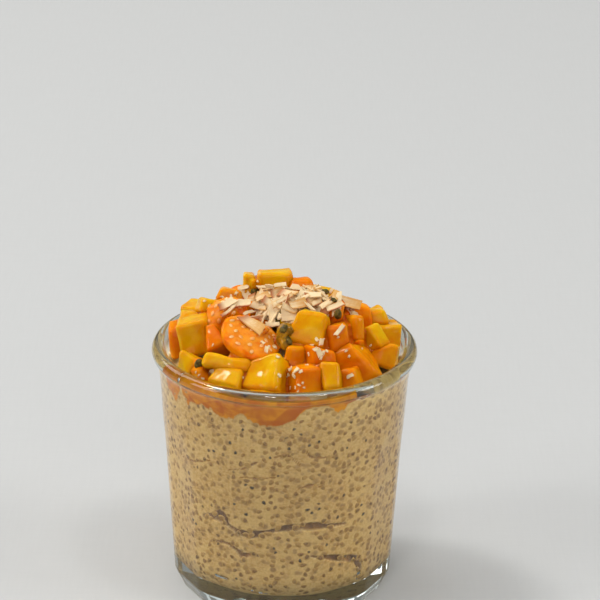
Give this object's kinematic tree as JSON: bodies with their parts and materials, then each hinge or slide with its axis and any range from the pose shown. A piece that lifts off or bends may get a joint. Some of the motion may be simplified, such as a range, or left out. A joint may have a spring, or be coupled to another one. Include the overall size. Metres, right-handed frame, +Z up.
{
  "type": "chia pudding in a glass",
  "caption": "Chia pudding in a panelled glass tumbler, heaped with diced mango, physalis halves, passion-fruit pulp and toasted coconut.",
  "frame": {"origin": "centre of the glass's foot, on the surface that it stands on", "axes": "+Z up along the glass's axis; -Y towards the side with the large physalis half, which the picture shows; +X to the right seen from there"},
  "size_m": [0.088, 0.088, 0.1058],
  "materials": {
    "glass": "clear, polished",
    "pudding": "moist, speckled with seeds",
    "mango_yellow": "wet, slightly translucent",
    "mango_amber": "wet, slightly translucent",
    "mango_orange": "wet, slightly translucent",
    "mango_deep": "wet, slightly translucent",
    "physalis": "glossy skin, moist cut face",
    "passionfruit_pulp": "wet, glossy",
    "coconut": "dry, toasted at the edges"
  },
  "bodies": {
    "root": {"coconut": "coconut", "glass": "glass", "mango_01": "mango_yellow", "mango_02": "mango_orange", "mango_03": "mango_yellow", "mango_04": "mango_orange", "mango_05": "mango_yellow", "mango_06": "mango_yellow", "mango_07": "mango_yellow", "mango_08": "mango_orange", "mango_09": "mango_orange", "mango_10": "mango_amber", "mango_12": "mango_yellow", "mango_13": "mango_yellow", "mango_14": "mango_yellow", "mango_15": "mango_orange", "mango_17": "mango_orange", "mango_18": "mango_amber", "mango_19": "mango_orange", "mango_20": "mango_amber", "mango_21": "mango_orange", "mango_22": "mango_yellow", "mango_23": "mango_orange", "mango_24": "mango_yellow", "mango_25": "mango_amber", "mango_26": "mango_yellow", "mango_27": "mango_orange", "mango_28": "mango_orange", "mango_29": "mango_yellow", "mango_30": "mango_yellow", "mango_32": "mango_amber", "mango_33": "mango_yellow", "mango_34": "mango_amber", "mango_35": "mango_yellow", "mango_36": "mango_yellow", "mango_37": "mango_orange", "mango_38": "mango_yellow", "mango_39": "mango_amber", "mango_40": "mango_orange", "mango_41": "mango_orange", "mango_42": "mango_yellow", "mango_43": "mango_yellow", "mango_44": "mango_yellow", "mango_45": "mango_yellow", "mango_46": "mango_yellow", "mango_47": "mango_amber", "mango_48": "mango_yellow", "mango_49": "mango_amber", "mango_50": "mango_orange", "passionfruit_pulp": "passionfruit_pulp", "physalis_01": "physalis", "physalis_02": "physalis", "physalis_03": "physalis", "physalis_04": "physalis", "physalis_05": "physalis", "physalis_06": "physalis", "pudding": "pudding"}
  },
  "joints": []
}
